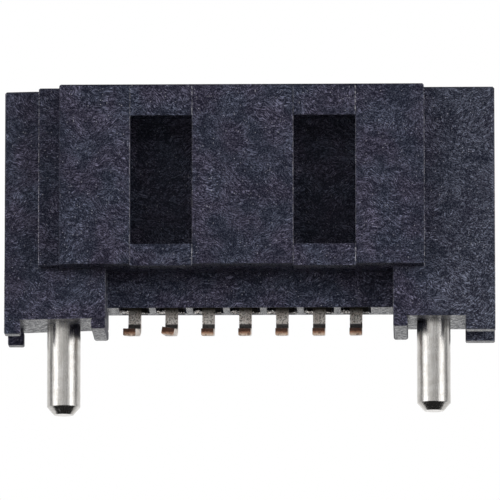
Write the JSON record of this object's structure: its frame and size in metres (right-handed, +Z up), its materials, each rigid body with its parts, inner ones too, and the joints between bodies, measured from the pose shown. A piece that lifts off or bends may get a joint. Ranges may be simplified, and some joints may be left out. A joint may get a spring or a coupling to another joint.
{
  "type": "disc drive connector",
  "caption": "Upright keyed board header: a black moulded shroud with latch windows round a contact tongue, bent surface-mount tails and round metal locating pegs.",
  "frame": {"origin": "on the circuit board's surface, midway between the centres of the two locating pegs", "axes": "+X along the row of contacts, +Y from the latch wall to the back wall, +Z up out of the board towards the mouth"},
  "size_m": [0.0168, 0.0061, 0.011],
  "materials": {
    "housing_plastic": "black glass-filled moulding with fine flow streaks",
    "contact_metal": "copper alloy strip with dull tin plating, bare where it was sheared",
    "peg_metal": "bright drawn round wire, plated"
  },
  "bodies": {
    "root": {"housing": "housing_plastic", "contact_1": "contact_metal", "contact_2": "contact_metal", "contact_3": "contact_metal", "contact_4": "contact_metal", "contact_5": "contact_metal", "contact_6": "contact_metal", "contact_7": "contact_metal", "peg_left": "peg_metal", "peg_right": "peg_metal"}
  },
  "joints": []
}
